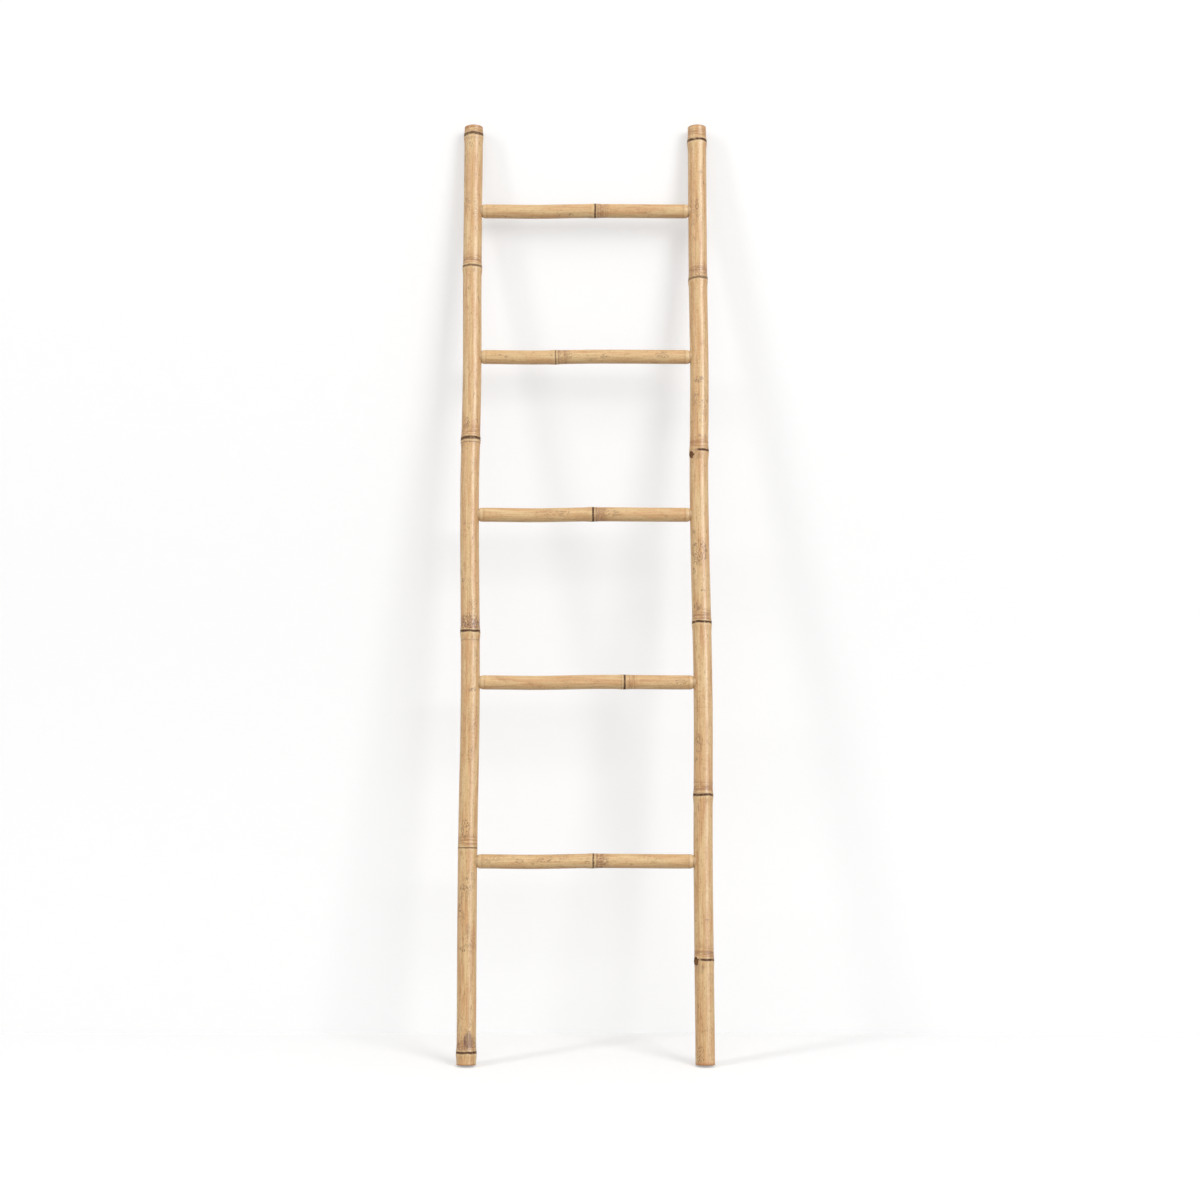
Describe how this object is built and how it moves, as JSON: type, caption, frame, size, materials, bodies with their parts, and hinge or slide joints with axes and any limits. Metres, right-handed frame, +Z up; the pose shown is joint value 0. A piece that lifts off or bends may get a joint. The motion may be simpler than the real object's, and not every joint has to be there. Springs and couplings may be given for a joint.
{
  "type": "towel ladder",
  "caption": "Leaning bamboo ladder for hanging towels: round culm poles with node rings, joined by thinner culm rungs tenoned and pegged into them.",
  "frame": {"origin": "on the floor, midway between the poles and midway between the ladder's front and the wall", "axes": "+Z up, +X to the right seen from the front, +Y back towards the wall that the ladder leans on"},
  "size_m": [0.4788, 0.3012, 1.7852],
  "materials": {
    "pole_bamboo": "dried bamboo culm, smooth skin with a satin gloss",
    "rung_bamboo": "dried bamboo cane, smooth skin with a satin gloss",
    "peg_hardwood": "turned hardwood peg, cut a little proud and bevelled, bare end grain"
  },
  "bodies": {
    "root": {"left_pole": "pole_bamboo", "right_pole": "pole_bamboo", "rung_1": "rung_bamboo", "rung_2": "rung_bamboo", "rung_3": "rung_bamboo", "rung_4": "rung_bamboo", "rung_5": "rung_bamboo", "left_peg_1": "peg_hardwood", "left_peg_2": "peg_hardwood", "left_peg_3": "peg_hardwood", "left_peg_4": "peg_hardwood", "left_peg_5": "peg_hardwood", "right_peg_1": "peg_hardwood", "right_peg_2": "peg_hardwood", "right_peg_3": "peg_hardwood", "right_peg_4": "peg_hardwood", "right_peg_5": "peg_hardwood"}
  },
  "joints": []
}
